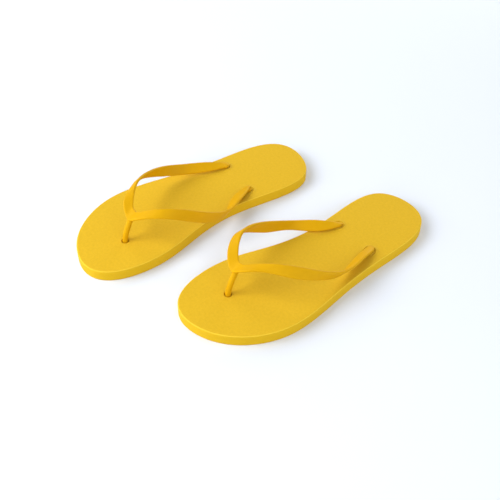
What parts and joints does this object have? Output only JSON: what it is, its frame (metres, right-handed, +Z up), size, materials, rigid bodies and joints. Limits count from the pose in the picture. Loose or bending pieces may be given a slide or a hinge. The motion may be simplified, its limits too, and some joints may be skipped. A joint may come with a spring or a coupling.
{
  "type": "flip flops",
  "caption": "Pair of thong sandals: flat foam soles with a moulded ribbon strap that runs from a toe post to two side plugs.",
  "frame": {"origin": "on the floor, under the centre of the box that holds the pair", "axes": "+Z up, +Y towards the toes, +X from the left shoe to the right shoe"},
  "size_m": [0.2462, 0.3117, 0.0536],
  "materials": {
    "sole_foam": "matte, fine-grained closed-cell foam",
    "strap_rubber": "smooth satin moulded rubber"
  },
  "bodies": {
    "left_forefoot": {"left_sole_forefoot": "sole_foam", "left_strap": "strap_rubber"},
    "left_heel": {"left_sole_heel": "sole_foam"},
    "right_forefoot": {"right_sole_forefoot": "sole_foam", "right_strap": "strap_rubber"},
    "right_heel": {"right_sole_heel": "sole_foam"}
  },
  "joints": [
    {"name": "left_sole_flex", "type": "hinge", "parent": "left_forefoot", "child": "left_heel", "pos_m": [-0.06442, 0.032, 0.012], "axis": [-0.9981, 0.0619, 0], "range_deg": [0, 30], "stiffness_Nm_per_rad": 0.5, "deforming": ["left_strap"]},
    {"name": "right_sole_flex", "type": "hinge", "parent": "right_forefoot", "child": "right_heel", "pos_m": [0.06442, 0.0738, 0.012], "axis": [-0.9981, -0.0619, 0], "range_deg": [0, 30], "stiffness_Nm_per_rad": 0.5, "deforming": ["right_strap"]},
    {"name": "pair_gap", "type": "slide", "parent": "left_forefoot", "child": "right_forefoot", "axis": [1, 0, 0], "range_m": [-0.03, 0.12]}
  ]
}
